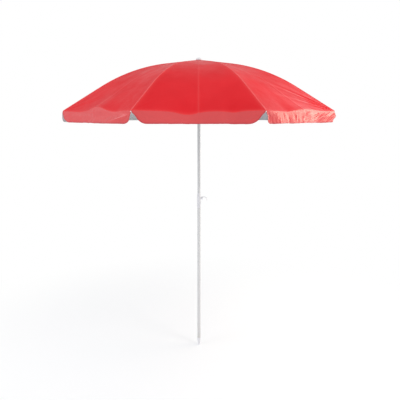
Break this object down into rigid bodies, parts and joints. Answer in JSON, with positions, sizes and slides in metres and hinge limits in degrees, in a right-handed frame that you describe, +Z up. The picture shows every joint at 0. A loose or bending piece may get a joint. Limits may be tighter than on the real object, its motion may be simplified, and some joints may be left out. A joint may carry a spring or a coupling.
{
  "type": "beach umbrella",
  "caption": "Beach umbrella with a two-part pole on a ground spike, folding steel ribs on a sliding runner, a domed canopy with a slit valance and a clamping screw with a bag hook.",
  "frame": {"origin": "tip of the ground spike, on the pole's axis", "axes": "+Z up along the pole, +X towards the bag hook; one gore faces -Y"},
  "size_m": [1.5322, 1.5322, 1.9076],
  "materials": {
    "painted_tube": "satin white paint",
    "painted_strut": "satin white paint",
    "rib_wire": "zinc plated",
    "ring_wire": "zinc plated",
    "spring_steel": "bright",
    "white_plastic": "moulded white",
    "hook_plastic": "moulded white",
    "canopy_fabric": "coated nylon, silver inside",
    "valance_fabric": "coated nylon, silver inside"
  },
  "bodies": {
    "lower_pole": {"lower_tube": "painted_tube", "ground_spike": "white_plastic", "joint_collar": "white_plastic"},
    "hook_screw": {"hook_screw": "hook_plastic"},
    "upper_pole": {"upper_tube": "painted_tube", "top_notch": "white_plastic", "notch_ring": "ring_wire", "canopy_rosette": "canopy_fabric", "top_cap": "white_plastic"},
    "catch_spring": {"catch_spring": "spring_steel"},
    "runner": {"runner": "white_plastic", "runner_ring": "ring_wire"},
    "rib_1_body": {"rib_1": "rib_wire", "rib_tip_1": "white_plastic"},
    "rib_2_body": {"rib_2": "rib_wire", "rib_tip_2": "white_plastic"},
    "rib_3_body": {"rib_3": "rib_wire", "rib_tip_3": "white_plastic"},
    "rib_4_body": {"rib_4": "rib_wire", "rib_tip_4": "white_plastic"},
    "rib_5_body": {"rib_5": "rib_wire", "rib_tip_5": "white_plastic"},
    "rib_6_body": {"rib_6": "rib_wire", "rib_tip_6": "white_plastic"},
    "rib_7_body": {"rib_7": "rib_wire", "rib_tip_7": "white_plastic"},
    "rib_8_body": {"rib_8": "rib_wire", "rib_tip_8": "white_plastic"},
    "strut_1_body": {"strut_1": "painted_strut"},
    "strut_2_body": {"strut_2": "painted_strut"},
    "strut_3_body": {"strut_3": "painted_strut"},
    "strut_4_body": {"strut_4": "painted_strut"},
    "strut_5_body": {"strut_5": "painted_strut"},
    "strut_6_body": {"strut_6": "painted_strut"},
    "strut_7_body": {"strut_7": "painted_strut"},
    "strut_8_body": {"strut_8": "painted_strut"},
    "gore_1_a_body": {"gore_1_a": "canopy_fabric"},
    "gore_1_b_body": {"gore_1_b": "canopy_fabric"},
    "gore_2_a_body": {"gore_2_a": "canopy_fabric"},
    "gore_2_b_body": {"gore_2_b": "canopy_fabric"},
    "gore_3_a_body": {"gore_3_a": "canopy_fabric"},
    "gore_3_b_body": {"gore_3_b": "canopy_fabric"},
    "gore_4_a_body": {"gore_4_a": "canopy_fabric"},
    "gore_4_b_body": {"gore_4_b": "canopy_fabric"},
    "gore_5_a_body": {"gore_5_a": "canopy_fabric"},
    "gore_5_b_body": {"gore_5_b": "canopy_fabric"},
    "gore_6_a_body": {"gore_6_a": "canopy_fabric"},
    "gore_6_b_body": {"gore_6_b": "canopy_fabric"},
    "gore_7_a_body": {"gore_7_a": "canopy_fabric"},
    "gore_7_b_body": {"gore_7_b": "canopy_fabric"},
    "gore_8_a_body": {"gore_8_a": "canopy_fabric"},
    "gore_8_b_body": {"gore_8_b": "canopy_fabric"},
    "valance_1_body": {"valance_1": "valance_fabric"},
    "valance_2_body": {"valance_2": "valance_fabric"},
    "valance_3_body": {"valance_3": "valance_fabric"},
    "valance_4_body": {"valance_4": "valance_fabric"},
    "valance_5_body": {"valance_5": "valance_fabric"},
    "valance_6_body": {"valance_6": "valance_fabric"},
    "valance_7_body": {"valance_7": "valance_fabric"},
    "valance_8_body": {"valance_8": "valance_fabric"}
  },
  "joints": [
    {"name": "height_slide", "type": "slide", "parent": "lower_pole", "child": "upper_pole", "axis": [0, 0, 1], "range_m": [-0.06, 0.1]},
    {"name": "screw_turn", "type": "hinge", "parent": "lower_pole", "child": "hook_screw", "pos_m": [0.02, 0, 1.028], "axis": [1, 0, 0], "continuous": true},
    {"name": "catch_press", "type": "hinge", "parent": "upper_pole", "child": "catch_spring", "pos_m": [0.0055, 0, 1.65011], "axis": [0, -1, 0], "range_deg": [0, 6], "stiffness_Nm_per_rad": 0.5},
    {"name": "canopy_fold", "type": "hinge", "parent": "upper_pole", "child": "rib_1_body", "pos_m": [0.01848, 0.00765, 1.886], "axis": [-0.3827, 0.9239, 0], "range_deg": [0, 66.5]},
    {"name": "rib_2_fold", "type": "hinge", "parent": "upper_pole", "child": "rib_2_body", "pos_m": [0.00765, 0.01848, 1.886], "axis": [-0.9239, 0.3827, 0], "range_deg": [0, 66.5]},
    {"name": "rib_3_fold", "type": "hinge", "parent": "upper_pole", "child": "rib_3_body", "pos_m": [-0.00765, 0.01848, 1.886], "axis": [-0.9239, -0.3827, 0], "range_deg": [0, 66.5]},
    {"name": "rib_4_fold", "type": "hinge", "parent": "upper_pole", "child": "rib_4_body", "pos_m": [-0.01848, 0.00765, 1.886], "axis": [-0.3827, -0.9239, 0], "range_deg": [0, 66.5]},
    {"name": "rib_5_fold", "type": "hinge", "parent": "upper_pole", "child": "rib_5_body", "pos_m": [-0.01848, -0.00765, 1.886], "axis": [0.3827, -0.9239, 0], "range_deg": [0, 66.5]},
    {"name": "rib_6_fold", "type": "hinge", "parent": "upper_pole", "child": "rib_6_body", "pos_m": [-0.00765, -0.01848, 1.886], "axis": [0.9239, -0.3827, 0], "range_deg": [0, 66.5]},
    {"name": "rib_7_fold", "type": "hinge", "parent": "upper_pole", "child": "rib_7_body", "pos_m": [0.00765, -0.01848, 1.886], "axis": [0.9239, 0.3827, 0], "range_deg": [0, 66.5]},
    {"name": "rib_8_fold", "type": "hinge", "parent": "upper_pole", "child": "rib_8_body", "pos_m": [0.01848, -0.00765, 1.886], "axis": [0.3827, 0.9239, 0], "range_deg": [0, 66.5]},
    {"name": "strut_1_swing", "type": "hinge", "parent": "rib_1_body", "child": "strut_1_body", "pos_m": [0.35202, 0.14581, 1.80706], "axis": [-0.3827, 0.9239, 0], "range_deg": [-133, 0]},
    {"name": "strut_2_swing", "type": "hinge", "parent": "rib_2_body", "child": "strut_2_body", "pos_m": [0.14581, 0.35202, 1.80706], "axis": [-0.9239, 0.3827, 0], "range_deg": [-133, 0]},
    {"name": "strut_3_swing", "type": "hinge", "parent": "rib_3_body", "child": "strut_3_body", "pos_m": [-0.14581, 0.35202, 1.80706], "axis": [-0.9239, -0.3827, 0], "range_deg": [-133, 0]},
    {"name": "strut_4_swing", "type": "hinge", "parent": "rib_4_body", "child": "strut_4_body", "pos_m": [-0.35202, 0.14581, 1.80706], "axis": [-0.3827, -0.9239, 0], "range_deg": [-133, 0]},
    {"name": "strut_5_swing", "type": "hinge", "parent": "rib_5_body", "child": "strut_5_body", "pos_m": [-0.35202, -0.14581, 1.80706], "axis": [0.3827, -0.9239, 0], "range_deg": [-133, 0]},
    {"name": "strut_6_swing", "type": "hinge", "parent": "rib_6_body", "child": "strut_6_body", "pos_m": [-0.14581, -0.35202, 1.80706], "axis": [0.9239, -0.3827, 0], "range_deg": [-133, 0]},
    {"name": "strut_7_swing", "type": "hinge", "parent": "rib_7_body", "child": "strut_7_body", "pos_m": [0.14581, -0.35202, 1.80706], "axis": [0.9239, 0.3827, 0], "range_deg": [-133, 0]},
    {"name": "strut_8_swing", "type": "hinge", "parent": "rib_8_body", "child": "strut_8_body", "pos_m": [0.35202, -0.14581, 1.80706], "axis": [0.3827, 0.9239, 0], "range_deg": [-133, 0]},
    {"name": "runner_travel", "type": "hinge", "parent": "strut_1_body", "child": "runner", "pos_m": [0.01848, 0.00765, 1.72811], "axis": [-0.3827, 0.9239, 0], "range_deg": [0, 66.5]},
    {"name": "gore_1_a_gather", "type": "slide", "parent": "rib_1_body", "child": "gore_1_a_body", "axis": [0.3827, -0.9239, 0], "range_m": [0, 0.235], "deforming": ["gore_1_a"]},
    {"name": "gore_1_b_gather", "type": "slide", "parent": "rib_2_body", "child": "gore_1_b_body", "axis": [-0.9239, 0.3827, 0], "range_m": [0, 0.235], "deforming": ["gore_1_b"]},
    {"name": "gore_2_a_gather", "type": "slide", "parent": "rib_2_body", "child": "gore_2_a_body", "axis": [0.9239, -0.3827, 0], "range_m": [0, 0.235], "deforming": ["gore_2_a"]},
    {"name": "gore_2_b_gather", "type": "slide", "parent": "rib_3_body", "child": "gore_2_b_body", "axis": [-0.9239, -0.3827, 0], "range_m": [0, 0.235], "deforming": ["gore_2_b"]},
    {"name": "gore_3_a_gather", "type": "slide", "parent": "rib_3_body", "child": "gore_3_a_body", "axis": [0.9239, 0.3827, 0], "range_m": [0, 0.235], "deforming": ["gore_3_a"]},
    {"name": "gore_3_b_gather", "type": "slide", "parent": "rib_4_body", "child": "gore_3_b_body", "axis": [-0.3827, -0.9239, 0], "range_m": [0, 0.235], "deforming": ["gore_3_b"]},
    {"name": "gore_4_a_gather", "type": "slide", "parent": "rib_4_body", "child": "gore_4_a_body", "axis": [0.3827, 0.9239, 0], "range_m": [0, 0.235], "deforming": ["gore_4_a"]},
    {"name": "gore_4_b_gather", "type": "slide", "parent": "rib_5_body", "child": "gore_4_b_body", "axis": [0.3827, -0.9239, 0], "range_m": [0, 0.235], "deforming": ["gore_4_b"]},
    {"name": "gore_5_a_gather", "type": "slide", "parent": "rib_5_body", "child": "gore_5_a_body", "axis": [-0.3827, 0.9239, 0], "range_m": [0, 0.235], "deforming": ["gore_5_a"]},
    {"name": "gore_5_b_gather", "type": "slide", "parent": "rib_6_body", "child": "gore_5_b_body", "axis": [0.9239, -0.3827, 0], "range_m": [0, 0.235], "deforming": ["gore_5_b"]},
    {"name": "gore_6_a_gather", "type": "slide", "parent": "rib_6_body", "child": "gore_6_a_body", "axis": [-0.9239, 0.3827, 0], "range_m": [0, 0.235], "deforming": ["gore_6_a"]},
    {"name": "gore_6_b_gather", "type": "slide", "parent": "rib_7_body", "child": "gore_6_b_body", "axis": [0.9239, 0.3827, 0], "range_m": [0, 0.235], "deforming": ["gore_6_b"]},
    {"name": "gore_7_a_gather", "type": "slide", "parent": "rib_7_body", "child": "gore_7_a_body", "axis": [-0.9239, -0.3827, 0], "range_m": [0, 0.235], "deforming": ["gore_7_a"]},
    {"name": "gore_7_b_gather", "type": "slide", "parent": "rib_8_body", "child": "gore_7_b_body", "axis": [0.3827, 0.9239, 0], "range_m": [0, 0.235], "deforming": ["gore_7_b"]},
    {"name": "gore_8_a_gather", "type": "slide", "parent": "rib_8_body", "child": "gore_8_a_body", "axis": [-0.3827, -0.9239, 0], "range_m": [0, 0.235], "deforming": ["gore_8_a"]},
    {"name": "gore_8_b_gather", "type": "slide", "parent": "rib_1_body", "child": "gore_8_b_body", "axis": [-0.3827, 0.9239, 0], "range_m": [0, 0.235], "deforming": ["gore_8_b"]},
    {"name": "valance_1_hang", "type": "hinge", "parent": "rib_1_body", "child": "valance_1_body", "pos_m": [0.76189, 0.31558, 1.5783], "axis": [-0.3827, 0.9239, 0], "range_deg": [-66.5, 0], "deforming": ["valance_1"]},
    {"name": "valance_2_hang", "type": "hinge", "parent": "rib_2_body", "child": "valance_2_body", "pos_m": [0.31558, 0.76189, 1.5783], "axis": [-0.9239, 0.3827, 0], "range_deg": [-66.5, 0], "deforming": ["valance_2"]},
    {"name": "valance_3_hang", "type": "hinge", "parent": "rib_3_body", "child": "valance_3_body", "pos_m": [-0.31558, 0.76189, 1.5783], "axis": [-0.9239, -0.3827, 0], "range_deg": [-66.5, 0], "deforming": ["valance_3"]},
    {"name": "valance_4_hang", "type": "hinge", "parent": "rib_4_body", "child": "valance_4_body", "pos_m": [-0.76189, 0.31558, 1.5783], "axis": [-0.3827, -0.9239, 0], "range_deg": [-66.5, 0], "deforming": ["valance_4"]},
    {"name": "valance_5_hang", "type": "hinge", "parent": "rib_5_body", "child": "valance_5_body", "pos_m": [-0.76189, -0.31558, 1.5783], "axis": [0.3827, -0.9239, 0], "range_deg": [-66.5, 0], "deforming": ["valance_5"]},
    {"name": "valance_6_hang", "type": "hinge", "parent": "rib_6_body", "child": "valance_6_body", "pos_m": [-0.31558, -0.76189, 1.5783], "axis": [0.9239, -0.3827, 0], "range_deg": [-66.5, 0], "deforming": ["valance_6"]},
    {"name": "valance_7_hang", "type": "hinge", "parent": "rib_7_body", "child": "valance_7_body", "pos_m": [0.31558, -0.76189, 1.5783], "axis": [0.9239, 0.3827, 0], "range_deg": [-66.5, 0], "deforming": ["valance_7"]},
    {"name": "valance_8_hang", "type": "hinge", "parent": "rib_8_body", "child": "valance_8_body", "pos_m": [0.76189, -0.31558, 1.5783], "axis": [0.3827, 0.9239, 0], "range_deg": [-66.5, 0], "deforming": ["valance_8"]}
  ],
  "couplings": [
    {"joint": "rib_2_fold", "follows": "canopy_fold", "ratio": 1},
    {"joint": "rib_3_fold", "follows": "canopy_fold", "ratio": 1},
    {"joint": "rib_4_fold", "follows": "canopy_fold", "ratio": 1},
    {"joint": "rib_5_fold", "follows": "canopy_fold", "ratio": 1},
    {"joint": "rib_6_fold", "follows": "canopy_fold", "ratio": 1},
    {"joint": "rib_7_fold", "follows": "canopy_fold", "ratio": 1},
    {"joint": "rib_8_fold", "follows": "canopy_fold", "ratio": 1},
    {"joint": "strut_1_swing", "follows": "canopy_fold", "ratio": -2},
    {"joint": "strut_2_swing", "follows": "canopy_fold", "ratio": -2},
    {"joint": "strut_3_swing", "follows": "canopy_fold", "ratio": -2},
    {"joint": "strut_4_swing", "follows": "canopy_fold", "ratio": -2},
    {"joint": "strut_5_swing", "follows": "canopy_fold", "ratio": -2},
    {"joint": "strut_6_swing", "follows": "canopy_fold", "ratio": -2},
    {"joint": "strut_7_swing", "follows": "canopy_fold", "ratio": -2},
    {"joint": "strut_8_swing", "follows": "canopy_fold", "ratio": -2},
    {"joint": "runner_travel", "follows": "canopy_fold", "ratio": 1},
    {"joint": "gore_1_a_gather", "follows": "canopy_fold", "m_per_rad": 0.20247},
    {"joint": "gore_1_b_gather", "follows": "canopy_fold", "m_per_rad": 0.20247},
    {"joint": "gore_2_a_gather", "follows": "canopy_fold", "m_per_rad": 0.20247},
    {"joint": "gore_2_b_gather", "follows": "canopy_fold", "m_per_rad": 0.20247},
    {"joint": "gore_3_a_gather", "follows": "canopy_fold", "m_per_rad": 0.20247},
    {"joint": "gore_3_b_gather", "follows": "canopy_fold", "m_per_rad": 0.20247},
    {"joint": "gore_4_a_gather", "follows": "canopy_fold", "m_per_rad": 0.20247},
    {"joint": "gore_4_b_gather", "follows": "canopy_fold", "m_per_rad": 0.20247},
    {"joint": "gore_5_a_gather", "follows": "canopy_fold", "m_per_rad": 0.20247},
    {"joint": "gore_5_b_gather", "follows": "canopy_fold", "m_per_rad": 0.20247},
    {"joint": "gore_6_a_gather", "follows": "canopy_fold", "m_per_rad": 0.20247},
    {"joint": "gore_6_b_gather", "follows": "canopy_fold", "m_per_rad": 0.20247},
    {"joint": "gore_7_a_gather", "follows": "canopy_fold", "m_per_rad": 0.20247},
    {"joint": "gore_7_b_gather", "follows": "canopy_fold", "m_per_rad": 0.20247},
    {"joint": "gore_8_a_gather", "follows": "canopy_fold", "m_per_rad": 0.20247},
    {"joint": "gore_8_b_gather", "follows": "canopy_fold", "m_per_rad": 0.20247},
    {"joint": "valance_1_hang", "follows": "canopy_fold", "ratio": -1},
    {"joint": "valance_2_hang", "follows": "canopy_fold", "ratio": -1},
    {"joint": "valance_3_hang", "follows": "canopy_fold", "ratio": -1},
    {"joint": "valance_4_hang", "follows": "canopy_fold", "ratio": -1},
    {"joint": "valance_5_hang", "follows": "canopy_fold", "ratio": -1},
    {"joint": "valance_6_hang", "follows": "canopy_fold", "ratio": -1},
    {"joint": "valance_7_hang", "follows": "canopy_fold", "ratio": -1},
    {"joint": "valance_8_hang", "follows": "canopy_fold", "ratio": -1}
  ]
}
